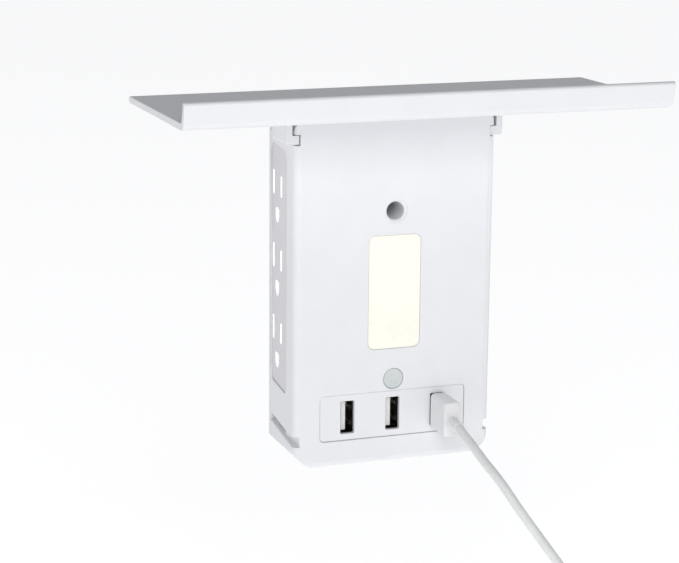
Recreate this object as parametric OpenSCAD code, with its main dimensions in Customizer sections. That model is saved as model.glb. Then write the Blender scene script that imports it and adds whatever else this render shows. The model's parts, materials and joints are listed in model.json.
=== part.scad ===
// Wall outlet extender with a slide-on shelf, three-sided, with USB sockets and a night light.
// The back plane that meets the wall is y = 0, the front faces -Y and +Z is up.
// The origin is on the axis of the wall screw, in the back plane.

/* [Body] */
// Width of the front face
body_w = 80; // [76:1:90]
// Height of the body
body_h = 136.4; // [134:0.2:150]
// Depth from the wall to the front face
body_d = 41; // [40:1:44]
// How far the body reaches above the wall screw
body_top = 39.2; // [38:0.2:44]
// How much narrower each side is at the wall than at the front
side_lean = 4; // [2:0.5:5]
// Corner radius of the front face
corner_r = 10.5; // [9:0.5:12]
// Radius of the rounded front edges
edge_r = 2.5; // [1.5:0.5:3]
// Wall thickness of the mouldings
wall = 2.2; // [2:0.1:2.6]
// Thickness of the back cover
cover_t = 3; // [2.5:0.5:4]

/* [Rail grooves] */
// Distance from the body's end to the groove
rail_h = 9; // [8:0.5:10]
// Height of a groove
groove_h = 4; // [3.6:0.2:4.4]
// Depth of a groove at the front
groove_depth = 2.6; // [2.2:0.2:3]
// Length of the straight front stretch, which ends in a stop
groove_run = 17.5; // [16:0.5:20]

/* [Outlets] */
// Height of the top outlet's blade slots above the wall screw
outlet_top = 7.2; // [5:0.2:8]
// Spacing of the outlets
outlet_pitch = 28.4; // [27:0.2:29]
// Spacing of the line and neutral slots
slot_gap = 12.7; // [12.7:0.1:12.8]
// Drop from the blade slots to the ground hole
ground_drop = 11.9; // [11.9:0.1:12]
// Width of the inset outlet panel
panel_w = 26; // [25.5:0.5:26]
// Height of the inset outlet panel
panel_h = 93; // [92:1:96]
// Travel of a safety shutter
shutter_travel = 2.7; // [2.6:0.1:2.8]

/* [USB] */
// Width of the USB faceplate
usb_w = 58.4; // [57:0.2:60]
// Height of the USB faceplate
usb_h = 17.6; // [17:0.2:18]
// Height of the USB sockets' centre line, below the wall screw
usb_drop = 78.2; // [77:0.1:79]
// Spacing of the USB sockets
usb_pitch = 18.2; // [17.8:0.1:18.6]

/* [Night light] */
// Width of the lens
lens_w = 20.6; // [20:0.2:22]
// Height of the lens
lens_h = 43.4; // [42:0.2:44]
// Depth of the lens centre below the wall screw
lens_drop = 30.9; // [30:0.1:32]
// Diameter of the light-sensor window
sensor_d = 7.8; // [7:0.2:8]
// Depth of the sensor below the wall screw
sensor_drop = 64.5; // [64:0.1:65]

/* [Shelf] */
// Width of the shelf
shelf_w = 184.5; // [150:0.5:220]
// Depth of the shelf from its back edge to its lip
shelf_d = 75.6; // [70:0.2:90]
// Thickness of the shelf plate
shelf_t = 2.5; // [2.3:0.1:3]
// Height of the shelf's lip
lip_h = 10; // [8:0.2:14]
// Thickness of the lip
lip_t = 2.3; // [2:0.1:2.8]
// Thickness of a hook's arm
arm_t = 2.4; // [2:0.1:3]
// Length of a hook along the groove
hook_len = 16.4; // [15:0.1:17]

/* [USB lead] */
// Diameter of the cable
cable_d = 3.4; // [3.2:0.1:3.6]
// Radius of the coil at the middle of its turns
coil_r = 20; // [19:0.5:21]

/* [Hidden] */

$fn = 64;
eps = 0.01;
gap = 0.15;
side_gap = 0.3;

// Body
body_mid = body_top - body_h / 2;
body_bottom = body_top - body_h;
lean = atan(side_lean / body_d);
front_inner = -body_d + wall;

// Grooves and the webs behind them
groove_top_z = body_top - rail_h;
groove_low_z = body_bottom + rail_h;
groove_rear_depth = 2.1;
web_t = 4.6;

// Wall screw, its tube and the receptacle it belongs to
screw_hole_d = 4.2;
tube_bore = 6.9;
tube_d = 11;
tube_tip_d = 9.2;
sink_d = 8.2;
receptacle_z = 19.45;
blade_rise = 4;
blade_z = receptacle_z + blade_rise;
ground_z = blade_z - ground_drop;
stabiliser_z = -2 * receptacle_z + ground_z;
blade_l = 17.5;
pin_l = 20;
pin_d = 4.8;

// Housing screws
post_x = 26;
post_top_z = body_top - 7.5;
post_low_z = body_bottom + 7.5;
post_d = 6.6;
post_bore = 2.9;

// Outlets, in the side's own frame: x outwards, y backwards from the front edge
panel_t = 2.2;
panel_sink = 0.4;
panel_u = 24.65;
panel_z = -24.3;
panel_r = 4;
outlet_u = 28.5;
slot_w = 2.1;
line_slot_h = 7.6;
neutral_slot_h = 9;
ground_hole_d = 5.6;
carrier_front_u = outlet_u - 12.4;
carrier_back_u = outlet_u + 9.2;
carrier_top = outlet_top + 7.6;
carrier_low = outlet_top - 2 * outlet_pitch - ground_drop - 6.6;
carrier_face = -(panel_sink + panel_t + gap);
carrier_back = -16;
pocket_t = 2.3;
bus_t = 0.8;
bus_top = carrier_top + 0.8;
wire_d = 1.6;
shutter_t = 1.8;

// USB sockets
usb_z = -usb_drop;
usb_face_y = -body_d + 0.35;
usb_plate_t = 1.8;
usb_hole = [5.6, 12.8];
usb_shell = [5.8, 13.2];
usb_shell_in = [5.12, 12.5];
usb_shell_front = usb_face_y + usb_plate_t + gap;
usb_shell_back = -22.5;
tongue_x = -0.84;
tongue_t = 1.84;
tongue_h = 11.1;

// Night light and boards
board_t = 1.6;
light_box_back = -24;
led_board_y = light_box_back + 0.1;
power_board_y = -19.6;
usb_board_y = usb_shell_back + 0.2;

// Shelf
shelf_z = body_top + 0.35;
shelf_back = -5;
shelf_front = shelf_back - shelf_d;
lip_lean = 1.4;
arm_x = body_w / 2 + side_gap;
hook_tip_x = body_w / 2 - groove_depth + side_gap;
hook_front = -body_d + 0.8;
hook_h = groove_h - 0.6;

// USB lead: the plug sits in the socket on the right
plug_x = usb_pitch;
plug_gap = 1.2;
plug_back = usb_face_y - plug_gap;
plug_l = 13.8;
plug_end = plug_back - plug_l;
grip = [6.6, 13.6];
plug_shell = [4.5, 12];
plug_shell_l = 11.8;
cable_z = usb_z - 1.4;
relief_d = 4.4;
relief_l = 6.5;
coil_c = [76, -101.4, -199.4];
coil_cols = 3;
coil_rows = 2;
route = [[plug_x, plug_end - relief_l, cable_z], [19, -67, -82], [20, -71, -84],
    [22, -77, -88.5], [25, -82, -93], [28, -86, -98.5], [31, -89, -104], [35, -91, -110],
    [39, -93, -116], [43, -95, -122], [47, -97, -128], [51, -99, -135], [55, -100.5, -142],
    [58, -102, -149], [60, -103, -156], [62, -103.5, -162.5], [64.5, -104, -168],
    [67.5, -104.5, -173], [71.5, -105, -176.5],
    [coil_c.x, coil_c.y - cable_d, coil_c.z + coil_r + cable_d / 2]];
tail = [[coil_c.x + coil_r - cable_d / 2, coil_c.y - cable_d, coil_c.z], [94.5, -106.5, -206.5],
    [94.5, -108.5, -213.5], [94.5, -109, -221], [94.5, -109, -228.5], [94, -108.5, -236]];
cable_sides = 8;

// ---------- shared shapes ----------

// Rectangle with round corners, centred
module round_rect(w, h, r) {
    square([w - 2 * r, h], center = true);
    square([w, h - 2 * r], center = true);
    for (i = [-1, 1], j = [-1, 1])
        translate([i * (w / 2 - r), j * (h / 2 - r)])
            circle(r);
}

// Extrudes an outline drawn in X and Z from back to front
module across(back, front) {
    translate([0, back, 0])
        rotate([90, 0, 0])
            linear_extrude(back - front)
                children();
}

// A round bar along Y
module bar_y(x, z, d, back, front) {
    translate([x, back, z])
        rotate([90, 0, 0])
            cylinder(d = d, h = back - front);
}

// A box given by its lowest and highest corners
module block(low, high) {
    translate(low)
        cube(high - low);
}

// A wire through the given points, each stretch along one axis, square at its corners
module wire(points, d) {
    for (i = [0 : len(points) - 2]) {
        from = points[i];
        to = points[i + 1];
        low = [min(from.x, to.x), min(from.y, to.y), min(from.z, to.z)] - [d, d, d] / 2;
        high = [max(from.x, to.x), max(from.y, to.y), max(from.z, to.z)] + [d, d, d] / 2;
        block(low, high);
    }
}

// Places children on a side of the body: side is -1 for left, 1 for right.
// There x points outwards, y runs backwards along the leaning side, z is up.
module on_side(side) {
    mirror([side < 0 ? 1 : 0, 0, 0])
        translate([body_w / 2, -body_d, 0])
            rotate([0, 0, lean])
                children();
}

// Extrudes an outline drawn in the side's y and z, from x_in out to x_out
module side_slab(x_in, x_out) {
    translate([x_in, 0, 0])
        rotate([90, 0, 90])
            linear_extrude(x_out - x_in)
                children();
}

// ---------- body ----------

// Plan of the body, inset on every face: narrower at the wall, round front edges
module body_plan(inset) {
    r = max(edge_r - inset, 0.6);
    half = body_w / 2 - inset / cos(lean);
    front = -body_d + inset;
    edge_half = half - inset * tan(lean);
    arc_x = edge_half - r * (tan(lean) + 1 / cos(lean));
    side_y = front + r + r * sin(lean);
    side_x = arc_x + r * cos(lean);
    back_half = half - side_lean;
    polygon([[-arc_x, front], [arc_x, front], [side_x, side_y], [back_half, 0],
        [back_half, 1], [-back_half, 1], [-back_half, 0], [-side_x, side_y]]);
    for (i = [-1, 1])
        translate([i * arc_x, front + r])
            circle(r);
}

// Side profile of the body, inset on every face, drawn in Y and Z
module body_profile(inset) {
    r = max(edge_r - inset, 0.6);
    front = -body_d + inset;
    half = body_h / 2 - inset;
    translate([front + r, -half])
        square([body_d + 1 - inset - r, 2 * half]);
    translate([front, -half + r])
        square([body_d, 2 * (half - r)]);
    for (j = [-1, 1])
        translate([front + r, j * (half - r)])
            circle(r);
}

module body_solid(inset) {
    intersection() {
        across(1, -body_d)
            translate([0, body_mid])
                round_rect(body_w - 2 * inset, body_h - 2 * inset, corner_r - inset);
        translate([0, 0, body_bottom])
            linear_extrude(body_h)
                body_plan(inset);
        translate([-body_w / 2, 0, body_mid])
            rotate([90, 0, 90])
                linear_extrude(body_w)
                    body_profile(inset);
    }
}

// One groove: a straight front stretch with a stop, then a shallow one with a sloping face.
// flat_z is the flat face that holds the hook, up is 1 for the lower rail and -1 for the upper.
module groove(side, flat_z, up) {
    mirror([side < 0 ? 1 : 0, 0, 0])
        translate([body_w / 2 - groove_depth, -body_d - 1, up > 0 ? flat_z : flat_z - groove_h])
            cube([groove_depth + 5, groove_run + 1, groove_h]);
    on_side(side)
        translate([0, body_d + 2, flat_z])
            rotate([90, 0, 0])
                linear_extrude(body_d - groove_run + 3)
                    polygon([[1, 0], [-groove_rear_depth, 0], [-groove_rear_depth, up * 0.4],
                        [0, up * (groove_h - 0.4)], [1, up * (groove_h - 0.4)]]);
}

module groove_web(side, flat_z, up) {
    low = up > 0 ? flat_z - wall : flat_z - groove_h - wall;
    on_side(side)
        block([-web_t, -2, low], [2, body_d + 3, low + groove_h + 2 * wall]);
}

module posts(d, front) {
    for (i = [-1, 1], z = [post_low_z, post_top_z])
        bar_y(i * post_x, z, d, -cover_t - 0.1, front);
}

module front_shell() color("white") {
    difference() {
        union() {
            difference() {
                body_solid(0);
                difference() {
                    body_solid(wall);
                    for (side = [-1, 1]) {
                        groove_web(side, groove_top_z, -1);
                        groove_web(side, groove_low_z, 1);
                    }
                }
            }
            posts(post_d, front_inner - eps);
        }
        block([-body_w, -cover_t - 0.1, body_bottom - 1], [body_w, 5, body_top + 1]);
        for (side = [-1, 1]) {
            groove(side, groove_top_z, -1);
            groove(side, groove_low_z, 1);
            on_side(side)
                side_slab(-3.4, 2)
                    translate([panel_u, panel_z])
                        round_rect(panel_w + 2 * gap, panel_h + 2 * gap, panel_r + gap);
        }
        bar_y(0, 0, tube_tip_d + 2 * gap, front_inner + 1, -body_d - 1);
        posts(post_bore, -30);
        across(-30, -body_d - 1) {
            translate([0, -lens_drop])
                round_rect(lens_w + 2 * gap, lens_h + 2 * gap, 2.5 + gap);
            translate([0, -sensor_drop])
                circle(d = sensor_d + 2 * gap);
            translate([0, usb_z])
                round_rect(usb_w + 2 * gap, usb_h + 2 * gap, 1.4 + gap);
        }
    }
}

// The tube that the wall screw goes down; its narrower tip stands in the front face
module screw_tube() color("white") {
    difference() {
        union() {
            bar_y(0, 0, tube_d, -cover_t - 0.1, front_inner + 0.05);
            bar_y(0, 0, tube_tip_d, -cover_t - 0.2, -body_d + 0.05);
        }
        bar_y(0, 0, tube_bore, 1, -body_d - 1);
        translate([0, -body_d, 0])
            rotate([-90, 0, 0])
                cylinder(d1 = sink_d, d2 = tube_bore, h = 0.65);
    }
}

module back_cover() color("gainsboro") {
    difference() {
        intersection() {
            body_solid(0);
            block([-body_w, -cover_t, body_bottom - 1], [body_w, 0, body_top + 1]);
        }
        bar_y(0, 0, screw_hole_d, 1, -cover_t - 1);
        for (z = [ground_z, stabiliser_z])
            bar_y(0, z, pin_d + 0.8, 1, -cover_t - 1);
        for (i = [-1, 1])
            block([i * slot_gap / 2 - 0.9, -cover_t - 1, blade_z - 3.4],
                [i * slot_gap / 2 + 0.9, 1, blade_z + 3.4]);
        for (i = [-1, 1], z = [post_low_z, post_top_z]) {
            bar_y(i * post_x, z, 3.2, 1, -cover_t - 1);
            translate([i * post_x, eps, z])
                rotate([90, 0, 0])
                    cylinder(d1 = 6, d2 = 3.2, h = 1.6);
        }
    }
}

module housing_screws() color("silver") {
    for (i = [-1, 1], z = [post_low_z, post_top_z]) {
        bar_y(i * post_x, z, 2.7, -1.2, -15);
        translate([i * post_x, -0.1, z])
            rotate([90, 0, 0])
                difference() {
                    cylinder(d1 = 5.6, d2 = 2.7, h = 1.6);
                    for (turn = [0, 90])
                        rotate([0, 0, turn])
                            translate([0, 0, 0.3])
                                cube([3, 0.7, 0.8], center = true);
                }
    }
}

// ---------- outlets ----------

module outlet_holes() {
    for (k = [0 : 2])
        translate([outlet_u, outlet_top - k * outlet_pitch]) {
            translate([-slot_gap / 2, 0])
                square([slot_w, line_slot_h], center = true);
            translate([slot_gap / 2, 0])
                square([slot_w, neutral_slot_h], center = true);
            translate([0, -ground_drop]) {
                circle(d = ground_hole_d);
                translate([-ground_hole_d / 2, 0])
                    square([ground_hole_d, ground_hole_d / 2 - 0.3]);
            }
        }
}

module outlet_panel(side) color("whitesmoke") {
    on_side(side)
        side_slab(-panel_sink - panel_t, -panel_sink)
            difference() {
                translate([panel_u, panel_z])
                    round_rect(panel_w, panel_h, panel_r);
                outlet_holes();
            }
}

module contact_carrier(side) color("darkgray") {
    on_side(side)
        difference() {
            block([carrier_back, carrier_front_u, carrier_low],
                [carrier_face, carrier_back_u, carrier_top]);
            for (k = [0 : 2])
                translate([0, outlet_u, outlet_top - k * outlet_pitch]) {
                    block([carrier_face - pocket_t, -11.7, -5.7], [1, 8.2, 5.7]);
                    for (i = [-1, 1])
                        block([carrier_back - 1, i * slot_gap / 2 - 1.7, -5.2],
                            [0, i * slot_gap / 2 + 1.7, 5.2]);
                    translate([carrier_back - 1, 0, -ground_drop])
                        rotate([0, 90, 0])
                            cylinder(d = 6.8, h = 20);
                }
        }
}

// A bus bar: a strip behind the carrier with a pair of spring leaves at each outlet
module bus(side, u, leaf_gap, leaf_h, drop) color("goldenrod") {
    on_side(side)
        translate([0, outlet_u + u, 0]) {
            block([carrier_back - 0.1 - bus_t, -2, outlet_top - 2 * outlet_pitch - drop - 5],
                [carrier_back - 0.1, 2, bus_top]);
            for (k = [0 : 2], i = [-1, 1])
                translate([0, i * (leaf_gap / 2 + 0.25), outlet_top - k * outlet_pitch - drop])
                    block([carrier_back - 0.2, -0.25, -leaf_h / 2], [-7, 0.25, leaf_h / 2]);
        }
}

// A safety shutter covers both blade slots and slides forward to uncover them
module shutter(side, k) color("white") {
    on_side(side)
        translate([0, outlet_u, outlet_top - k * outlet_pitch])
            difference() {
                block([carrier_face - gap - shutter_t, -8.7, -5.4], [carrier_face - gap, 7.6, 5.4]);
                translate([carrier_face - shutter_t / 2 - gap, -slot_gap / 2 + shutter_travel, 0])
                    cube([shutter_t + 1, slot_w + 0.2, line_slot_h + 1], center = true);
            }
}

// ---------- wall plug ----------

module blade(i, long) color("silver") {
    block([i * slot_gap / 2 - 0.75, -cover_t - 0.2, blade_z - long / 2],
        [i * slot_gap / 2 + 0.75, blade_l, blade_z + long / 2]);
    block([i * slot_gap / 2 - 0.75, -9, blade_z - 4.2],
        [i * slot_gap / 2 + 0.75, -cover_t - 0.1, blade_z + 4.2]);
}

module round_pin(z, tone) color(tone) {
    bar_y(0, z, pin_d, pin_l - 1.6, 0.1);
    translate([0, pin_l - 1.6, z])
        rotate([-90, 0, 0])
            cylinder(d1 = pin_d, d2 = 2.6, h = 1.6);
    bar_y(0, z, pin_d + 0.6, 0.1, -cover_t - 2.6);
    bar_y(0, z, 7.6, -cover_t - 0.1, -cover_t - 2.6);
}

// A wire runs forward from its blade, up, across to both sides and down to the bus bars
module wires(from, over_y, over_z, u, tone) color(tone) {
    bus_x = body_w / 2 - (outlet_u + u) * sin(lean) + (carrier_back - 0.5) * cos(lean);
    bus_y = -body_d + (outlet_u + u) * cos(lean) + (carrier_back - 0.5) * sin(lean);
    wire([from, [from.x, over_y, from.z], [from.x, over_y, over_z]], wire_d);
    for (i = [-1, 1])
        wire([[from.x, over_y, over_z], [i * bus_x, over_y, over_z], [i * bus_x, bus_y, over_z],
            [i * bus_x, bus_y, bus_top + wire_d / 2 + 0.05]], wire_d);
}

// ---------- USB ----------

module at_usb(k) {
    translate([(k - 2) * usb_pitch, 0, usb_z])
        children();
}

module usb_faceplate() color("whitesmoke") {
    across(usb_face_y + usb_plate_t, usb_face_y)
        translate([0, usb_z])
            difference() {
                round_rect(usb_w, usb_h, 1.4);
                for (k = [1 : 3])
                    translate([(k - 2) * usb_pitch, 0])
                        round_rect(usb_hole.x, usb_hole.y, 0.5);
            }
}

module usb_socket_shell(k) color("lightgray") {
    at_usb(k)
        difference() {
            across(usb_shell_back, usb_shell_front)
                round_rect(usb_shell.x, usb_shell.y, 0.6);
            across(usb_shell_back - 0.4, usb_shell_front - 1)
                round_rect(usb_shell_in.x, usb_shell_in.y, 0.4);
        }
}

module usb_tongue(k) color("white") {
    back = usb_shell_back - 0.5;
    at_usb(k) {
        block([tongue_x - tongue_t / 2, usb_shell_front + 0.8, -tongue_h / 2],
            [tongue_x + tongue_t / 2, back - 1.9, tongue_h / 2]);
        block([-2.4, back - 2, -6.1], [2.4, back, 6.1]);
    }
}

module usb_contacts() color("gold") {
    for (k = [1 : 3], z = [-3.5, -1, 1, 3.5])
        at_usb(k)
            block([tongue_x + tongue_t / 2, usb_shell_front + 2.2, z - 0.5],
                [tongue_x + tongue_t / 2 + 0.1, usb_shell_back - 2.6, z + 0.5]);
}

module usb_board() color("seagreen") {
    block([-22, usb_board_y, usb_z - 9.6], [22, usb_board_y + board_t, usb_z + 8.6]);
}

// ---------- night light ----------

module night_light_lens() color("ivory") {
    translate([0, 0, -lens_drop]) {
        across(front_inner, -body_d + 0.15)
            round_rect(lens_w, lens_h, 2.5);
        across(front_inner + 1.1, front_inner + 0.05)
            round_rect(lens_w + 3, lens_h + 3, 3);
        across(front_inner + 0.2, front_inner - 0.1)
            round_rect(lens_w - 1, lens_h - 1, 2.5);
    }
}

module light_box() color("white") {
    across(light_box_back, front_inner + 1.2)
        translate([0, -lens_drop])
            difference() {
                round_rect(lens_w + 3.8, lens_h + 3.6, 3);
                round_rect(lens_w, lens_h, 2.5);
            }
}

module led_board() color("seagreen") {
    block([-11.5, led_board_y, -sensor_drop - 4], [11.5, led_board_y + board_t, -8]);
}

module night_light_leds() color("khaki") {
    for (i = [-1, 1], j = [-1 : 1])
        block([i * 5 - 1.5, led_board_y - 0.9, j * 13 - lens_drop - 1.4],
            [i * 5 + 1.5, led_board_y - 0.05, j * 13 - lens_drop + 1.4]);
}

module light_sensor_window() color("lightgray") {
    bar_y(0, -sensor_drop, sensor_d, front_inner + 0.05, -body_d + 0.2);
    bar_y(0, -sensor_drop, sensor_d + 2, front_inner + 0.9, front_inner + 0.05);
}

module photocell() color("sienna") {
    bar_y(0, -sensor_drop, 5, front_inner + 3.2, front_inner + 1.1);
    for (i = [-1, 1])
        bar_y(i * 1.3, -sensor_drop, 0.6, led_board_y - 0.05, front_inner + 3.1);
}

// ---------- power supply ----------

module power_board() color("seagreen") {
    block([-18, power_board_y, -66], [18, power_board_y + board_t, -8]);
}

module transformer() color("gold") {
    top = power_board_y + board_t + 0.05;
    block([-16, top, -64], [-2, top + 2, -48]);
    block([-14.5, top + 1.9, -62.5], [-3.5, top + 10, -49.5]);
    block([-16, top + 3, -59], [-2, top + 9, -53]);
}

module filter_capacitors() color("slategray") {
    top = power_board_y + board_t + 0.05;
    for (z = [-42, -53])
        bar_y(9, z, 8, top + 11, top);
    bar_y(8, -62, 5, top + 8, top);
}

module surge_varistors() color("royalblue") {
    for (i = [-1 : 1])
        translate([i * 10, power_board_y + board_t + 6.3, -14])
            rotate([0, 0, 90])
                rotate([90, 0, 0])
                    cylinder(d = 12, h = 4, center = true);
}

module thermal_fuse() color("darkgray") {
    translate([-12, power_board_y + board_t + 2.6, -42])
        cylinder(d = 4.4, h = 15);
}

// ---------- shelf ----------

function arc(c, r, from, to, n) =
    [for (i = [0 : n]) c + r * [cos(from + (to - from) * i / n), sin(from + (to - from) * i / n)]];

// Section of the shelf in Y and Z: round back edge, plate, round lower front corner, leaning lip
module shelf_section() {
    t = shelf_t;
    back_arc = arc([shelf_back - t / 2, t / 2], t / 2, -90, 90, 8);
    inner_arc = arc([shelf_front + lip_lean + lip_t + 1.6, t + 1.6], 1.6, 270, 190, 5);
    tip_arc = arc([shelf_front + lip_t / 2, lip_h - lip_t / 2], lip_t / 2, 10, 190, 8);
    outer_arc = arc([shelf_front + lip_lean + 3.2, 3.2], 3.2, 190, 270, 7);
    polygon(concat(back_arc, inner_arc, tip_arc, outer_arc));
}

module shelf() color("white") {
    translate([-shelf_w / 2, 0, shelf_z])
        rotate([90, 0, 90])
            linear_extrude(shelf_w)
                shelf_section();
    for (i = [0, 1])
        mirror([i, 0, 0]) {
            low = groove_top_z - 0.25 - hook_h;
            difference() {
                block([arm_x, hook_front, low], [arm_x + arm_t, hook_front + hook_len, shelf_z + 0.3]);
                translate([arm_x + arm_t - 1, hook_front - 1, low - 0.01])
                    difference() {
                        cube([2, hook_len + 2, 1]);
                        translate([0, -1, 1])
                            rotate([-90, 0, 0])
                                cylinder(r = 1, h = hook_len + 4);
                    }
            }
            block([hook_tip_x, hook_front, low], [arm_x + eps, hook_front + hook_len, low + hook_h]);
        }
}

// ---------- USB lead ----------

module usb_plug_shell() color("silver") {
    translate([plug_x, 0, usb_z])
        difference() {
            across(plug_back + plug_shell_l, plug_back + 0.05)
                round_rect(plug_shell.x, plug_shell.y, 0.5);
            across(plug_back + plug_shell_l + 1, plug_back + 0.35)
                round_rect(plug_shell.x - 0.7, plug_shell.y - 0.7, 0.3);
        }
}

module usb_plug_core() color("white") {
    translate([plug_x, 0, usb_z])
        block([0.35, plug_back + 0.45, -5.4], [1.8, plug_back + plug_shell_l - 0.4, 5.4]);
}

module usb_plug_grip() color("white") {
    translate([plug_x, 0, usb_z])
        across(plug_back, plug_end)
            round_rect(grip.x, grip.y, 1.6);
}

// A tube of the given diameter along a route, one ring of points at each of its points
function along(p, i) =
    let (a = p[max(i - 1, 0)], b = p[min(i + 1, len(p) - 1)]) (b - a) / norm(b - a);
function ring(p, i, d) =
    let (t = along(p, i),
        s = cross(t, [0.31, 0.95, 0.05]), u = s / norm(s), w = cross(t, u))
    [for (k = [0 : cable_sides - 1])
        p[i] + d / 2 * (u * cos(360 * k / cable_sides) + w * sin(360 * k / cable_sides))];

module tube(p, d) {
    n = cable_sides;
    last = (len(p) - 1) * n;
    points = [for (i = [0 : len(p) - 1]) each ring(p, i, d)];
    sides = [for (i = [0 : len(p) - 2], k = [0 : n - 1], half = [0, 1])
        let (a = i * n + k, b = i * n + (k + 1) % n)
        half == 0 ? [a, b, b + n] : [a, b + n, a + n]];
    ends = [[for (k = [0 : n - 1]) n - 1 - k], [for (k = [0 : n - 1]) last + k]];
    polyhedron(points = points, faces = concat(sides, ends));
}

module usb_strain_relief() color("white") {
    translate([plug_x, plug_end, cable_z])
        rotate([90, 0, 0])
            cylinder(d1 = relief_d + 0.4, d2 = relief_d, h = relief_l);
}

module usb_cable() color("white") {
    tube(route, cable_d);
}

module usb_cable_tail() color("white") {
    tube(tail, cable_d);
}

// The coil's outer shape: a ring round its turns, axis along Y
module usb_cable_coil() color("white") {
    translate(coil_c)
        rotate([90, 0, 0])
            rotate_extrude()
                translate([coil_r, 0])
                    round_rect(coil_rows * cable_d, coil_cols * cable_d, 1.6);
}

module cable_tie() color("dimgray") {
    inner = [coil_rows * cable_d + 1.4, coil_cols * cable_d + 0.4, 9];
    translate(coil_c)
        rotate([0, -60, 0])
            translate([coil_r, 0, 0])
                difference() {
                    cube(inner + [1.8, 1.8, 0], center = true);
                    cube(inner + [0, 0, 1], center = true);
                }
}

module end_connector_grip() color("white") {
    end = tail[len(tail) - 1];
    translate([end.x, end.y, end.z - 18])
        linear_extrude(18)
            round_rect(11.6, 6.4, 2.6);
}

module end_connector_tip() color("silver") {
    end = tail[len(tail) - 1];
    translate([end.x, end.y, end.z - 24.7])
        linear_extrude(6.65)
            round_rect(8.3, 2.5, 1.2);
}

front_shell();
screw_tube();
back_cover();
outlet_panel(-1);  // left_outlet_panel
outlet_panel(1);  // right_outlet_panel
usb_faceplate();
night_light_lens();
light_sensor_window();
contact_carrier(-1);  // left_contact_carrier
contact_carrier(1);  // right_contact_carrier
bus(-1, -slot_gap / 2, 1.5, 8, 0);  // left_line_bus
bus(-1, slot_gap / 2, 1.5, 8, 0);  // left_neutral_bus
bus(-1, 0, 4.7, 3, ground_drop);  // left_ground_bus
bus(1, -slot_gap / 2, 1.5, 8, 0);  // right_line_bus
bus(1, slot_gap / 2, 1.5, 8, 0);  // right_neutral_bus
bus(1, 0, 4.7, 3, ground_drop);  // right_ground_bus
blade(1, 6.35);  // line_blade
blade(-1, 6.35);  // neutral_blade
round_pin(ground_z, "silver");  // ground_pin
round_pin(stabiliser_z, "white");  // stabiliser_pin
wires([slot_gap / 2, -9.9, blade_z], -26, 30, -slot_gap / 2, "black");  // line_wires
wires([-slot_gap / 2, -9.9, blade_z], -12, 33, slot_gap / 2, "white");  // neutral_wires
wires([0, -cover_t - 3.5, ground_z], -16, 19, 0, "green");  // ground_wires
housing_screws();
light_box();
led_board();
night_light_leds();
photocell();
power_board();
transformer();
filter_capacitors();
surge_varistors();
thermal_fuse();
usb_board();
usb_socket_shell(1);  // usb_shell_1
usb_socket_shell(2);  // usb_shell_2
usb_socket_shell(3);  // usb_shell_3
usb_tongue(1);  // usb_tongue_1
usb_tongue(2);  // usb_tongue_2
usb_tongue(3);  // usb_tongue_3
usb_contacts();
shutter(-1, 0);  // left_shutter_1
shutter(-1, 1);  // left_shutter_2
shutter(-1, 2);  // left_shutter_3
shutter(1, 0);  // right_shutter_1
shutter(1, 1);  // right_shutter_2
shutter(1, 2);  // right_shutter_3
shelf();
usb_plug_shell();
usb_plug_core();
usb_plug_grip();
usb_strain_relief();
usb_cable();
usb_cable_coil();
usb_cable_tail();
cable_tie();
end_connector_grip();
end_connector_tip();
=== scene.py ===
import json
import math

import bmesh
import bpy
from mathutils import Matrix, Vector


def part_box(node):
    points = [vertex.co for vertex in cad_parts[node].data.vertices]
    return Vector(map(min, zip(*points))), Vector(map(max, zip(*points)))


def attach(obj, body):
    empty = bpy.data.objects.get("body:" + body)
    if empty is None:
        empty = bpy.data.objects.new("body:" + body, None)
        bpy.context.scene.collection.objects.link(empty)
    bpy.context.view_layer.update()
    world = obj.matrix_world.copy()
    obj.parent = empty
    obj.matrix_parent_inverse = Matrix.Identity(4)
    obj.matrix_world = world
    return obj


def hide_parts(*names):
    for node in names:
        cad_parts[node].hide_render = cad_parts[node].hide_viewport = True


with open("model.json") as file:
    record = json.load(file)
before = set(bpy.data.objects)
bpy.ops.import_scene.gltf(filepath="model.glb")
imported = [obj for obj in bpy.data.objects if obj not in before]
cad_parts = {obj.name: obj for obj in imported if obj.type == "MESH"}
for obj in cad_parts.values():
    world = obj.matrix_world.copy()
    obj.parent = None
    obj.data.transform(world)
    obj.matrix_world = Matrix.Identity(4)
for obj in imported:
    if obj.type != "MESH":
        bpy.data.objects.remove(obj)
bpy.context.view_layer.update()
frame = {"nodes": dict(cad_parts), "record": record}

MM = 0.001
nodes = frame["nodes"]
scene = bpy.context.scene


def mm(*point):
    """A point given in millimetres, in the frame's metres."""
    return Vector(point) * MM


def link(obj):
    scene.collection.objects.link(obj)
    return obj


# ---------- camera ----------

camera = link(bpy.data.objects.new("camera", bpy.data.cameras.new("camera")))
camera.data.sensor_width = 36
camera.data.lens = 104.96
camera.data.shift_x = 0.0994
camera.data.shift_y = -0.0464
camera.data.clip_start, camera.data.clip_end = 0.05, 60
right = Vector((0.949729, -0.313067, 0.001813))
up = Vector((0.06501, 0.202875, 0.977044))
back = Vector((-0.306249, -0.92781, 0.213029))
camera.matrix_world = Matrix.Translation(mm(-269.417, -710.691, 142.171)) @ Matrix(
    (right, up, back)).transposed().to_4x4()
scene.camera = camera

# ---------- the USB lead's cord ----------

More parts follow.
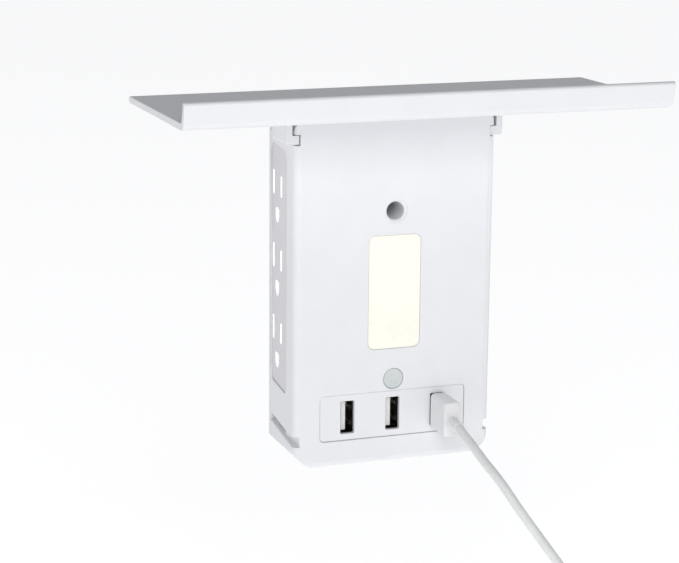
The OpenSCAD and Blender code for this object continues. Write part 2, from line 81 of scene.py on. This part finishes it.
# Millimetres, as in part.scad: the coil's centre, its radius at the middle of its two rows,
# and how far its winding goes round, in degrees
CABLE_D = 3.4
COIL = (76, -101.4, -199.4)
COIL_R = 20
WINDING = 1890
ROUTE = [(18.2, -62.15, -79.6), (19, -67, -82), (20, -71, -84), (22, -77, -88.5),
         (25, -82, -93), (28, -86, -98.5), (31, -89, -104), (35, -91, -110), (39, -93, -116),
         (43, -95, -122), (47, -97, -128), (51, -99, -135), (55, -100.5, -142),
         (58, -102, -149), (60, -103, -156), (62, -103.5, -162.5), (64.5, -104, -168),
         (67.5, -104.5, -173), (71.5, -105, -176.5), (76, -104.8, -177.7)]
TAIL = [(94.3, -104.8, -199.4), (94.5, -106.5, -206.5), (94.5, -108.5, -213.5),
        (94.5, -109, -221), (94.5, -109, -228.5), (94, -108.5, -236)]


def ease(t):
    t = min(max(t, 0), 1)
    return t * t * (3 - 2 * t)


def spline_along(points, steps):
    """A smooth line from the first point to the last, close by those between (cubic B-spline)."""
    pts = [Vector(p) for p in points]
    pts = [2 * pts[0] - pts[1]] + pts + [2 * pts[-1] - pts[-2]]
    out = []
    for a, b, c, d in zip(pts, pts[1:], pts[2:], pts[3:]):
        for i in range(steps):
            t = i / steps
            out.append(((1 - t) ** 3 * a + (3 * t ** 3 - 6 * t ** 2 + 4) * b
                        + (3 * t + 3 * t ** 2 - 3 * t ** 3 + 1) * c + t ** 3 * d) / 6)
    return out + [pts[-2]]


def coil_point(turn):
    """A point of the winding, turn in degrees clockwise from the top. The cable crosses to the
    next layer back at the end of its first two turns, moves in to the inner row during its
    third, and comes forwards again over the rest."""
    shift = ease((turn - 270) / 60) + ease((turn - 630) / 60)
    inward = ease((turn - 945) / 60)
    returned = ease((turn - 1230) / 60) + ease((turn - 1590) / 60)
    radius = COIL_R + CABLE_D / 2 - CABLE_D * inward
    depth = COIL[1] - CABLE_D + CABLE_D * (shift - returned)
    a = math.radians(turn)
    return Vector((COIL[0] + radius * math.sin(a), depth, COIL[2] + radius * math.cos(a)))


lead_points = spline_along(ROUTE, 4)[:-1]
lead_points += [coil_point(t) for t in range(0, WINDING, 10)]
lead_points += spline_along(TAIL, 4)
lead_points = [p * MM for p in lead_points]

# ---------- materials ----------


def material(name, colour, rough, metal=0.0, mottle=0.03, patch=12.0, grain=0.5, depth=0.01,
             spread=0.05, stretch=(1, 1, 1), wave=0.03, **sockets):
    """A surface whose colour, gloss and relief all vary. patch and grain are the sizes in mm of
    its colour patches and of its fine relief, depth and wave the heights of fine and broad relief."""
    made = bpy.data.materials.new(name)
    made.use_nodes = True
    made.diffuse_color = (*colour, 1)
    tree = made.node_tree
    shader = tree.nodes["Principled BSDF"]
    place = tree.nodes.new("ShaderNodeTexCoord")
    scaled = tree.nodes.new("ShaderNodeMapping")
    scaled.inputs["Scale"].default_value = stretch
    tree.links.new(place.outputs["Object"], scaled.inputs["Vector"])

    def noise(size, detail):
        made_noise = tree.nodes.new("ShaderNodeTexNoise")
        made_noise.inputs["Scale"].default_value = 1 / (size * MM)
        made_noise.inputs["Detail"].default_value = detail
        tree.links.new(scaled.outputs["Vector"], made_noise.inputs["Vector"])
        return made_noise.outputs["Fac"]

    patches, fine, broad = noise(patch, 4), noise(grain, 2), noise(patch * 2.5, 1)
    ramp = tree.nodes.new("ShaderNodeValToRGB")
    ramp.color_ramp.elements[0].position, ramp.color_ramp.elements[1].position = 0.3, 0.7
    ramp.color_ramp.elements[0].color = (*[c * (1 - mottle) for c in colour], 1)
    ramp.color_ramp.elements[1].color = (*[min(c * (1 + mottle), 1) for c in colour], 1)
    tree.links.new(patches, ramp.inputs["Fac"])
    tree.links.new(ramp.outputs["Color"], shader.inputs["Base Color"])
    gloss = tree.nodes.new("ShaderNodeMapRange")
    gloss.inputs["From Min"].default_value, gloss.inputs["From Max"].default_value = 0.3, 0.7
    gloss.inputs["To Min"].default_value = max(rough - spread, 0.03)
    gloss.inputs["To Max"].default_value = min(rough + spread, 1)
    tree.links.new(patches, gloss.inputs["Value"])
    tree.links.new(gloss.outputs["Result"], shader.inputs["Roughness"])
    normal = None
    for height, size in ((broad, wave), (fine, depth)):
        bump = tree.nodes.new("ShaderNodeBump")
        bump.inputs["Distance"].default_value = size * MM
        tree.links.new(height, bump.inputs["Height"])
        if normal:
            tree.links.new(normal, bump.inputs["Normal"])
        normal = bump.outputs["Normal"]
    tree.links.new(normal, shader.inputs["Normal"])
    shader.inputs["Metallic"].default_value = metal
    for socket, value in sockets.items():
        shader.inputs[socket.replace("_", " ")].default_value = value
    return made


def woven(made, pitch, depth):
    """Adds a weave of that pitch in mm to a material's relief."""
    tree = made.node_tree
    shader = tree.nodes["Principled BSDF"]
    place = tree.nodes.new("ShaderNodeTexCoord")
    threads = tree.nodes.new("ShaderNodeTexVoronoi")
    threads.inputs["Scale"].default_value = 1 / (pitch * MM)
    tree.links.new(place.outputs["Object"], threads.inputs["Vector"])
    bump = tree.nodes.new("ShaderNodeBump")
    bump.invert = True
    bump.inputs["Distance"].default_value = depth * MM
    tree.links.new(threads.outputs["Distance"], bump.inputs["Height"])
    tree.links.new(shader.inputs["Normal"].links[0].from_socket, bump.inputs["Normal"])
    tree.links.new(bump.outputs["Normal"], shader.inputs["Normal"])
    return made


WHITE = (0.80, 0.805, 0.83)
FINISH = {
    "housing": material("housing_abs", WHITE, 0.36, mottle=0.012, grain=0.35, depth=0.008),
    "outlet_panel": material("panel_abs", (0.71, 0.705, 0.73), 0.42, mottle=0.012, grain=0.3,
                             depth=0.012),
    "lens": material("lens_diffuser", (0.78, 0.77, 0.69), 0.3, mottle=0.025, patch=18, grain=0.4,
                     depth=0.006, Emission_Color=(1, 0.97, 0.86, 1), Emission_Strength=0.20),
    "sensor_window": material("sensor_window_frosted", (0.60, 0.645, 0.63), 0.3, mottle=0.06,
                              patch=3, grain=0.3, depth=0.015, Coat_Weight=0.3),
    "contact_carrier": material("carrier_nylon", (0.62, 0.62, 0.61), 0.5, mottle=0.04, patch=5),
    "contact_brass": material("brass_strip", (0.72, 0.52, 0.22), 0.3, metal=1, mottle=0.06,
                              patch=4, grain=0.2, stretch=(1, 1, 0.15)),
    "plated_blade": material("nickel_plate", (0.66, 0.65, 0.62), 0.24, metal=1, mottle=0.05,
                             patch=3, grain=0.15, stretch=(1, 0.12, 1)),
    "pin_plastic": material("pin_nylon", (0.74, 0.74, 0.74), 0.45, mottle=0.03, patch=4),
    "black_wire": material("black_pvc", (0.02, 0.02, 0.022), 0.35, mottle=0.2, patch=3),
    "white_wire": material("white_pvc", (0.75, 0.75, 0.73), 0.35, mottle=0.05, patch=3),
    "green_wire": material("green_pvc", (0.05, 0.30, 0.09), 0.35, mottle=0.15, patch=3),
    "steel_screw": material("zinc_steel", (0.58, 0.58, 0.57), 0.32, metal=1, mottle=0.10,
                            patch=1.5, grain=0.12),
    "light_box": material("reflector_white", (0.85, 0.85, 0.84), 0.5, mottle=0.02, patch=6),
    "circuit_board": material("solder_mask", (0.03, 0.22, 0.10), 0.3, mottle=0.35, patch=2.2,
                              grain=0.6, depth=0.02),
    "led": material("led_phosphor", (0.85, 0.75, 0.30), 0.3, mottle=0.1, patch=1,
                    Emission_Color=(1, 0.93, 0.7, 1), Emission_Strength=1.0),
    "photocell": material("photocell_ceramic", (0.45, 0.22, 0.10), 0.5, mottle=0.25, patch=1),
    "transformer_tape": material("yellow_tape", (0.80, 0.62, 0.06), 0.3, mottle=0.08, patch=3),
    "capacitor_sleeve": material("sleeve_film", (0.03, 0.05, 0.14), 0.22, mottle=0.2, patch=4),
    "varistor_coat": material("epoxy_coat", (0.03, 0.13, 0.50), 0.3, mottle=0.15, patch=2,
                              wave=0.08),
    "fuse_body": material("fuse_ceramic", (0.55, 0.54, 0.50), 0.5, mottle=0.12, patch=2),
    "usb_steel": material("usb_shell_steel", (0.55, 0.55, 0.54), 0.22, metal=1, mottle=0.08,
                          patch=2, grain=0.15, stretch=(1, 0.15, 1)),
    "usb_tongue": material("tongue_lcp", (0.80, 0.80, 0.78), 0.38, mottle=0.03, patch=2),
    "gilt_contact": material("gilt", (0.83, 0.60, 0.25), 0.22, metal=1, mottle=0.06, patch=1,
                             grain=0.1, stretch=(1, 0.2, 1)),
    "shelf": material("shelf_abs", (0.80, 0.805, 0.825), 0.40, mottle=0.015, patch=16, grain=0.45,
                      depth=0.014),
    "shutter": material("shutter_nylon", (0.85, 0.85, 0.85), 0.4, mottle=0.02, patch=4),
    "plug_grip": material("grip_tpe", (0.78, 0.78, 0.79), 0.45, mottle=0.02, patch=5, grain=0.25,
                          depth=0.012),
    "cable_jacket": material("jacket_tpe", (0.74, 0.75, 0.745), 0.42, mottle=0.04, patch=6,
                             grain=0.3, depth=0.014),
    "tie": woven(material("hook_and_loop", (0.05, 0.05, 0.055), 0.85, mottle=0.35, patch=1.2,
                          grain=0.25, depth=0.05, Sheen_Weight=0.4), 0.7, 0.18),
}
# Slot and ground-hole walls that glow a little though they are no lamp: a painted highlight on the shaded
# side
SLOT_WALL_PAINTED_GLOW = material("slot_wall_painted_glow", (0.86, 0.86, 0.88), 0.4, mottle=0.012, grain=0.3,
                     Emission_Color=(1, 1, 1, 1), Emission_Strength=0.40)
# A darkened copy of the shell steel: painted shade for the inside of the USB ports
SHADED_SOCKET_STEEL = material("socket_steel_painted_shade", (0.10, 0.10, 0.10), 0.35, metal=1, mottle=0.1, patch=2,
                        grain=0.15)
slot_of = {part["node"]: part["material_slot"] for part in frame["record"]["subparts"]}
body_of = {name: body for body, names in frame["record"]["behaviour"]["bodies"].items()
           for name in names}
for name, obj in nodes.items():
    obj.data.materials.clear()
    obj.data.materials.append(FINISH[slot_of[name]])


# ---------- shared ways of making a piece ----------


def finish_piece(obj, *stands_for):
    """Gives a piece the finish and body of the CAD node it stands for."""
    first = stands_for[0]
    obj.data.materials.clear()
    obj.data.materials.append(FINISH[slot_of[first]])
    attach(obj, body_of[first])
    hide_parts(*stands_for)
    return obj


def mesh_object(name, shape, crease=35):
    """An object of a bmesh, smooth except at edges sharper than crease degrees."""
    bmesh.ops.recalc_face_normals(shape, faces=shape.faces)
    for face in shape.faces:
        face.smooth = True
    for edge in shape.edges:
        edge.smooth = edge.is_manifold and edge.calc_face_angle(0) < math.radians(crease)
    data = bpy.data.meshes.new(name)
    shape.to_mesh(data)
    shape.free()
    obj = link(bpy.data.objects.new(name, data))
    weighted = obj.modifiers.new("weighted", "WEIGHTED_NORMAL")
    weighted.keep_sharp = True
    return obj


def softened(node, name, width, segments=2, crease=30, seat=None):
    """The CAD node's shape with every sharp edge rounded, as a piece that stands for it.
    seat closes the hairline round the wall-screw tube's tip: its points nearer to the screw
    axis than the second radius move to the first, and its edge stays sharp."""
    shape = bmesh.new()
    shape.from_mesh(nodes[node].data)
    bmesh.ops.remove_doubles(shape, verts=shape.verts, dist=0.002 * MM)
    bmesh.ops.dissolve_limit(shape, angle_limit=math.radians(0.6), verts=shape.verts,
                             edges=shape.edges)
    seated = set()
    for v in shape.verts if seat else ():
        away = math.hypot(v.co.x, v.co.z)
        if away < seat[1] * MM:
            v.co.x, v.co.z = v.co.x * seat[0] * MM / away, v.co.z * seat[0] * MM / away
            seated.add(v)
    sharp = [e for e in shape.edges if e.is_manifold and not seated.intersection(e.verts)
             and e.calc_face_angle(0) > math.radians(crease)]
    bmesh.ops.bevel(shape, geom=sharp, offset=width * MM, offset_type="WIDTH",
                    segments=segments, profile=0.5, affect="EDGES", clamp_overlap=False)
    return finish_piece(mesh_object(name, shape, 50), node)


def add_loft(shape, rings, close_start=True, close_end=True):
    """Adds a skin through rings of points, each ring a closed loop, to a bmesh. Points in mm."""
    loops = [[shape.verts.new(mm(*p)) for p in ring] for ring in rings]
    n = len(loops[0])
    for a, b in zip(loops, loops[1:]):
        for i in range(n):
            shape.faces.new((a[i], a[(i + 1) % n], b[(i + 1) % n], b[i]))
    if close_start:
        shape.faces.new(loops[0][::-1])
    if close_end:
        shape.faces.new(loops[-1])


def round_rect(w, h, r, steps=6):
    """A rectangle with round corners, as points in two coordinates."""
    r = min(r, w / 2 - 1e-4, h / 2 - 1e-4)
    points = []
    for quarter, (sx, sy) in enumerate(((1, 1), (-1, 1), (-1, -1), (1, -1))):
        for i in range(steps + 1):
            a = math.radians(90 * quarter + 90 * i / steps)
            points.append((sx * (w / 2 - r) + r * math.cos(a), sy * (h / 2 - r) + r * math.sin(a)))
    return points


def circle(r, steps=32):
    return [(r * math.cos(2 * math.pi * i / steps), r * math.sin(2 * math.pi * i / steps))
            for i in range(steps)]


def rings_y(outlines, x, z):
    """Rings across the Y axis from (y, outline) pairs."""
    return [[(x + u, y, z + v) for u, v in outline] for y, outline in outlines]


def rings_z(outlines, x, y):
    """Rings across the Z axis from (z, outline) pairs."""
    return [[(x + u, y + v, z) for u, v in outline] for z, outline in outlines]


def lathe_y(name, profile, x, z, *stands_for, steps=40):
    """A turned piece along Y from (y, radius) pairs, closed at both ends."""
    shape = bmesh.new()
    add_loft(shape, rings_y([(y, circle(r, steps)) for y, r in profile], x, z))
    return finish_piece(mesh_object(name, shape), *stands_for)


def strip(shape, path, across, thickness):
    """Adds a flat strip along a path: across is its width as a vector, both in mm."""
    across = Vector(across)
    rings = []
    pts = [Vector(p) for p in path]
    for i, p in enumerate(pts):
        t = (pts[min(i + 1, len(pts) - 1)] - pts[max(i - 1, 0)]).normalized()
        n = t.cross(across).normalized() * thickness / 2
        w = across / 2
        rings.append([p - w - n, p + w - n, p + w + n, p - w + n])
    add_loft(shape, [[tuple(q) for q in ring] for ring in rings])


# ---------- the cord ----------

curve = bpy.data.curves.new("usb_lead_cord", "CURVE")
curve.dimensions = "3D"
line = curve.splines.new("POLY")
line.points.add(len(lead_points) - 1)
for point, place in zip(line.points, lead_points):
    point.co = (*place, 1)
line.use_smooth = True
curve.bevel_depth = CABLE_D / 2 * MM
curve.bevel_resolution = 5
curve.use_fill_caps = True
cord = finish_piece(link(bpy.data.objects.new("usb_lead_cord", curve)),
                    "usb_cable", "usb_cable_coil", "usb_cable_tail")

# ---------- housing and shelf ----------

# Radius of the screw tube's tip, and one that takes in the hairline round it
TUBE_TIP_R, TUBE_TIP_REACH = 4.6, 5
softened("front_shell", "front_shell_moulding", 0.3, seat=(TUBE_TIP_R, TUBE_TIP_REACH))
softened("screw_tube", "screw_tube_moulding", 0.2)
softened("back_cover", "back_cover_moulding", 0.3)
softened("shelf", "shelf_moulding", 0.3)


# How far the sides lean, and how wide a border of a panel has no slots
SIDE_LEAN = math.atan2(4, 41)
PANEL_BORDER = 1.6


def outlet_panel(hand, side):
    """An outlet panel whose slots and ground holes have walls that glow a little: a painted highlight that
    makes them brighter than its face.
    """
    panel = softened(f"{hand}_outlet_panel", f"{hand}_outlet_panel_moulding", 0.25)
    panel.data.materials.append(SLOT_WALL_PAINTED_GLOW)
    low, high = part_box(f"{hand}_outlet_panel")
    out = Vector((side * math.cos(SIDE_LEAN), math.sin(SIDE_LEAN), 0))
    rim = PANEL_BORDER * MM
    # Walls inside the border that are not the panel's face take the glowing material, a painted highlight
    for face in panel.data.polygons:
        inside = (low.y + rim < face.center.y < high.y - rim
                  and low.z + rim < face.center.z < high.z - rim)
        if inside and abs(face.normal.dot(out)) < 0.95:
            face.material_index = 1


outlet_panel("left", -1)
outlet_panel("right", 1)
faceplate = softened("usb_faceplate", "usb_faceplate_moulding", 0.2)
faceplate.data.materials[0] = FINISH["housing"]
softened("night_light_lens", "night_light_lens_moulding", 0.35, segments=3)
softened("light_sensor_window", "light_sensor_window_moulding", 0.25)

# ---------- wall plug ----------

BLADE_Z, BLADE_X, BLADE_ROOT, BLADE_END = 23.45, 6.35, -3.2, 17.5
BLADE_W, BLADE_T, BLADE_HOLE_R, BLADE_HOLE_Y = 6.35, 1.5, 1.5, 14.2
BLADE_EDGE, BLADE_TIP_CHAMFER = 0.25, 1.2
GROUND_Z, STABILISER_Z = 11.55, -27.35
PIN_R, PIN_DOME_Y, PIN_DOME_L = 2.4, 17.9, 2.1
FAR = 1e9


def blade_outline(inset, hole_r, count=48):
    """Outer loop and hole loop of a blade's side, in Y and Z, with the same number of points."""
    half = BLADE_W / 2 - inset
    tip, root = BLADE_END - inset, BLADE_ROOT + inset
    hole_y = BLADE_HOLE_Y
    hole = [(hole_y + hole_r * math.cos(2 * math.pi * i / count),
             BLADE_Z + hole_r * math.sin(2 * math.pi * i / count)) for i in range(count)]
    outer = []
    for i in range(count):
        a = 2 * math.pi * i / count
        c, s = math.cos(a), math.sin(a)
        corner = c + abs(s)
        reach = min([(tip - hole_y) / c if c > 1e-6 else FAR,
                     (hole_y - root) / -c if c < -1e-6 else FAR,
                     half / abs(s) if abs(s) > 1e-6 else FAR,
                     (tip - hole_y + half - BLADE_TIP_CHAMFER) / corner if corner > 1e-6 else FAR])
        outer.append((hole_y + reach * c, BLADE_Z + reach * s))
    return outer, hole


def blade_piece(name, side, node):
    """A plug blade: a plated strip with a hole, chamfered edges and a tapered tip."""
    shape = bmesh.new()
    x = side * BLADE_X
    face, edge, wide = BLADE_T / 2, BLADE_EDGE, BLADE_HOLE_R + 0.2
    layers = [(-face, edge, wide), (edge - face, 0, BLADE_HOLE_R), (face - edge, 0, BLADE_HOLE_R),
              (face, edge, wide)]
    loops = []
    for dx, inset, hole_r in layers:
        outer, hole = blade_outline(inset, hole_r)
        loops.append([[shape.verts.new(mm(x + dx, y, z)) for y, z in ring]
                      for ring in (outer, hole)])
    n = len(loops[0][0])
    for i in range(n):
        j = (i + 1) % n
        for (oa, ha), (ob, hb) in zip(loops, loops[1:]):
            shape.faces.new((oa[i], oa[j], ob[j], ob[i]))
            shape.faces.new((ha[j], ha[i], hb[i], hb[j]))
        for (o, h), flip in ((loops[0], False), (loops[-1], True)):
            quad = (o[i], o[j], h[j], h[i])
            shape.faces.new(quad[::-1] if flip else quad)
    foot = round_rect(BLADE_T, 8.4, 0.3)
    add_loft(shape, rings_y([(-3.15, foot), (-8.9, foot)], x, BLADE_Z))
    finish_piece(mesh_object(name, shape), node)


blade_piece("line_blade_plated", 1, "line_blade")
blade_piece("neutral_blade_plated", -1, "neutral_blade")


def pin_profile(tip_r):
    """A round pin from its flange inside the cover to a domed tip."""
    dome = [(PIN_DOME_Y + PIN_DOME_L * math.sin(math.radians(a)),
             tip_r + (PIN_R - tip_r) * math.cos(math.radians(a)))
            for a in range(0, 91, 15)]
    return ([(-5.65, 3.5), (-5.5, 3.8), (-3.3, 3.8), (-3.1, 3.6), (-3.1, 2.75), (-0.1, 2.7),
             (0.1, 2.45), (0.4, PIN_R)] + dome)


lathe_y("ground_pin_plated", pin_profile(0.5), 0, GROUND_Z, "ground_pin")
lathe_y("stabiliser_pin_moulding", pin_profile(1.1), 0, STABILISER_Z,
        "stabiliser_pin")

# ---------- USB sockets ----------

USB_PITCH, USB_Z, USB_FACE = 18.2, -78.2, -40.65
SHELL_FRONT, SHELL_BACK = USB_FACE + 1.95, -22.5
TONGUE_X, TONGUE_T = -0.84, 1.84


def usb_socket(k):
    """A folded steel shell with a flared mouth and four springs. The shell takes a darkened copy of the
    steel, painted shade for the inside of the port; the springs keep the plain steel.
    """
    x = (k - 2) * USB_PITCH
    shape = bmesh.new()
    skins = [(SHELL_FRONT, 5.7, 13.1), (SHELL_FRONT + 0.25, 5.8, 13.2), (SHELL_BACK, 5.8, 13.2),
             (SHELL_BACK, 5.2, 12.6), (SHELL_FRONT + 0.9, 5.12, 12.5), (SHELL_FRONT + 0.15, 5.5, 12.9)]
    rings = rings_y([(y, round_rect(w, h, 0.55)) for y, w, h in skins], x, USB_Z)
    add_loft(shape, rings + [rings[0]], False, False)
    bmesh.ops.remove_doubles(shape, verts=shape.verts, dist=0.001 * MM)
    shell_faces = len(shape.faces)
    for side in (-1, 1):
        for dz in (-3.1, 3.1):
            wall_x = x + side * 2.5
            path = [(wall_x - side * bulge, SHELL_FRONT + y, USB_Z + dz)
                    for y, bulge in ((9, -0.02), (7, 0.12), (5, 0.35), (3.4, 0.52), (2.4, 0.48),
                                     (1.5, 0.2))]
            strip(shape, path, (0, 0, 1.7 if side > 0 else 1.3), 0.16)
    piece = finish_piece(mesh_object(f"usb_socket_{k}", shape), f"usb_shell_{k}")
    # The shell's faces take the darkened steel, painted shade inside the port
    piece.data.materials.append(SHADED_SOCKET_STEEL)
    for face in piece.data.polygons[:shell_faces]:
        face.material_index = 1


def usb_springs():
    """The four sprung contacts of each socket, each with a rounded contact bump."""
    shape = bmesh.new()
    for k in (1, 2, 3):
        for dz in (-3.5, -1, 1, 3.5):
            x = (k - 2) * USB_PITCH + TONGUE_X + TONGUE_T / 2
            path = [(x + rise, SHELL_FRONT + y, USB_Z + dz) for y, rise in (
                (1.5, 0.03), (2.1, 0.2), (2.8, 0.32), (3.6, 0.32), (4.6, 0.2), (6.5, 0.09),
                (9, 0.07), (12.6, 0.07))]
            strip(shape, path, (0, 0, 1.0), 0.12)
    finish_piece(mesh_object("usb_contact_springs", shape), "usb_contacts")


for k in (1, 2, 3):
    usb_socket(k)
    softened(f"usb_tongue_{k}", f"usb_tongue_{k}_moulding", 0.2)
usb_springs()

# ---------- the USB lead's plug, relief, tie and far connector ----------

PLUG_X, GRIP_FRONT, GRIP_END, CABLE_Z = 18.2, -41.85, -55.65, -79.6
PLUG_SHELL_L = 11.8
RIBS, RIB_PITCH = 4, 1.35


def plug_grip():
    """The overmoulded grip: a rounded front, a shallow ring groove and a crowned end."""
    stations = [(GRIP_FRONT, 5.9, 12.9, 1.2), (GRIP_FRONT - 0.25, 6.4, 13.4, 1.5),
                (GRIP_FRONT - 0.5, 6.6, 13.6, 1.6), (GRIP_FRONT - 1.5, 6.6, 13.6, 1.6),
                (GRIP_FRONT - 1.62, 6.3, 13.3, 1.5), (GRIP_FRONT - 1.85, 6.3, 13.3, 1.5),
                (GRIP_FRONT - 1.97, 6.6, 13.6, 1.6), (GRIP_END + 1.2, 6.6, 13.6, 1.6),
                (GRIP_END + 0.6, 6.45, 13.45, 1.6), (GRIP_END + 0.25, 6.1, 13.1, 1.5),
                (GRIP_END + 0.06, 5.5, 12.5, 1.3), (GRIP_END, 4.6, 11.6, 1.0)]
    shape = bmesh.new()
    add_loft(shape, rings_y([(y, round_rect(w, h, r, 8)) for y, w, h, r in stations],
                            PLUG_X, USB_Z))
    return finish_piece(mesh_object("usb_plug_grip_moulding", shape, 40), "usb_plug_grip")


def strain_relief():
    """A tapered, ribbed sleeve with a rolled foot."""
    profile = [(GRIP_END + 0.1, 2.7), (GRIP_END - 0.2, 2.68), (GRIP_END - 0.45, 2.45)]
    for i in range(RIBS):
        y, r = GRIP_END - 0.7 - RIB_PITCH * i, 2.38 - 0.06 * i
        profile += [(y, r), (y - 0.75, r - 0.03), (y - 0.85, r - 0.32), (y - 1.2, r - 0.34)]
    profile += [(-61.9, 2.12), (-62.25, 2.05), (-62.4, 1.8)]
    return lathe_y("usb_strain_relief_sleeve", profile, PLUG_X, CABLE_Z, "usb_strain_relief",
                   steps=32)


def plug_shell():
    """The plug's steel shell: a thin tube with a rolled mouth."""
    shape = bmesh.new()
    y0, y1 = GRIP_FRONT + 0.05, GRIP_FRONT + PLUG_SHELL_L
    skins = [(y0, 4.5, 12), (y1 - 0.2, 4.5, 12), (y1, 4.36, 11.86), (y1, 3.95, 11.45),
             (y1 - 0.2, 3.8, 11.3), (y0 + 0.35, 3.8, 11.3)]
    rings = rings_y([(y, round_rect(w, h, 0.5)) for y, w, h in skins], PLUG_X, USB_Z)
    add_loft(shape, rings, True, True)
    return finish_piece(mesh_object("usb_plug_shell_folded", shape), "usb_plug_shell")


STRAP_W, STRAP_T, STRAP_PLAY, STRAP_AT = 9, 0.75, 1.3, 60


def strap():
    """A hook-and-loop strap wound round the coil's turns, with a loose end over its start."""
    turn_w, turn_h = 2 * CABLE_D + STRAP_PLAY, 3 * CABLE_D + STRAP_PLAY
    loop = round_rect(turn_w, turn_h, 2.0, 5)
    n = len(loop)
    spiral = []
    for i in range(n + n // 2 + 1):
        u, v = loop[i % n]
        grow = 0.95 * ease((i - n * 0.75) / (n * 0.25))
        length = math.hypot(u, v)
        spiral.append((u * (1 + grow / length), v * (1 + grow / length)))
    angle = math.radians(STRAP_AT)
    radial = Vector((math.cos(angle), 0, math.sin(angle)))
    along = Vector((-math.sin(angle), 0, math.cos(angle)))
    shape = bmesh.new()
    path = [Vector(COIL) + radial * (COIL_R + u) + Vector((0, v, 0)) for u, v in spiral]
    strip(shape, [tuple(p) for p in path], along * STRAP_W, STRAP_T)
    return finish_piece(mesh_object("cable_tie_strap", shape, 60), "cable_tie")


END = Vector(TAIL[-1])


def end_grip():
    """The far connector's grip, shouldered, with three grooves round it."""
    outline = [(0.4, 4.2, 4.2, 2.0), (0.1, 5.0, 4.8, 2.3), (-1.2, 5.4, 5.0, 2.4),
               (-2.2, 5.6, 5.0, 2.4), (-3.4, 9.4, 5.9, 2.8), (-4.2, 11.0, 6.3, 3.0), (-5.2, 11.6, 6.4, 3.0)]
    for i in range(3):
        z = -7.0 - 2.2 * i
        outline += [(z, 11.6, 6.4, 3.0), (z - 0.3, 11.2, 6.0, 2.9), (z - 0.8, 11.2, 6.0, 2.9),
                    (z - 1.1, 11.6, 6.4, 3.0)]
    outline += [(-16.9, 11.6, 6.4, 3.0), (-17.6, 11.3, 6.1, 2.9), (-18.0, 10.4, 5.2, 2.5)]
    shape = bmesh.new()
    add_loft(shape, rings_z([(END.z + z, round_rect(w, h, r, 8)) for z, w, h, r in outline],
                            END.x, END.y))
    return finish_piece(mesh_object("end_connector_grip_moulding", shape, 40), "end_connector_grip")


def end_tip():
    """The far connector's oval steel shell with its hollow mouth."""
    outline = [(-17.9, 8.3, 2.5, 1.24), (-24.4, 8.3, 2.5, 1.24), (-24.65, 8.1, 2.3, 1.14),
               (-24.65, 7.7, 1.9, 0.94), (-24.4, 7.5, 1.75, 0.86), (-19.0, 7.5, 1.75, 0.86)]
    shape = bmesh.new()
    add_loft(shape, rings_z([(END.z + z, round_rect(w, h, r, 8)) for z, w, h, r in outline],
                            END.x, END.y))
    return finish_piece(mesh_object("end_connector_tip_shell", shape), "end_connector_tip")


lead_pieces = [plug_grip(), strain_relief(), plug_shell(), strap(), end_grip(), end_tip(),
               softened("usb_plug_core", "usb_plug_core_moulding", 0.15)]

# ---------- stage and light ----------

scene.view_settings.view_transform = "Standard"
# In metres from here on: the floor's height and half width
FLOOR_Z, FLOOR_HALF = -0.275, 30
corners = [(u * FLOOR_HALF, v * FLOOR_HALF, 0) for u, v in ((-1, -1), (1, -1), (1, 1), (-1, 1))]
floor_mesh = bpy.data.meshes.new("floor")
floor_mesh.from_pydata(corners, [], [(0, 1, 2, 3)])
floor = link(bpy.data.objects.new("floor", floor_mesh))
floor.location.z = FLOOR_Z
floor_mesh.materials.append(
    material("studio_paper", (0.9, 0.9, 0.905), 0.9, mottle=0.004, patch=400, grain=2, depth=0.05,
             Emission_Color=(1, 1, 1, 1), Emission_Strength=0.67))

world = bpy.data.worlds.new("studio")
world.use_nodes = True
sky = world.node_tree
heading = sky.nodes.new("ShaderNodeTexCoord")
height = sky.nodes.new("ShaderNodeSeparateXYZ")
fade = sky.nodes.new("ShaderNodeValToRGB")  # light at the horizon, darker overhead
fade.color_ramp.elements[0].color = (0.56, 0.565, 0.58, 1)
fade.color_ramp.elements[1].color = (0.13, 0.133, 0.14, 1)
sky.links.new(heading.outputs["Generated"], height.inputs["Vector"])
sky.links.new(height.outputs["Z"], fade.inputs["Fac"])
sky.links.new(fade.outputs["Color"], sky.nodes["Background"].inputs["Color"])
sky.nodes["Background"].inputs["Strength"].default_value = 1
scene.world = world


def area_light(name, place, aim, size, power, colour=(1, 1, 1)):
    """A soft rectangular light, in metres and watts."""
    lamp = link(bpy.data.objects.new(name, bpy.data.lights.new(name, "AREA")))
    lamp.data.shape = "RECTANGLE"
    lamp.data.size, lamp.data.size_y = size
    lamp.data.energy = power
    lamp.data.color = colour
    lamp.location = place
    lamp.rotation_euler = (Vector(aim) - Vector(place)).to_track_quat("-Z", "Y").to_euler()
    return lamp


area_light("front_panel", (-0.78, -2.41, 1.15), (0, 0, -0.03), (1.6, 1.1), 25)
area_light("low_fill", (-0.2, -2.5, -0.12), (0, 0, -0.1), (0.9, 0.3), 1.0)
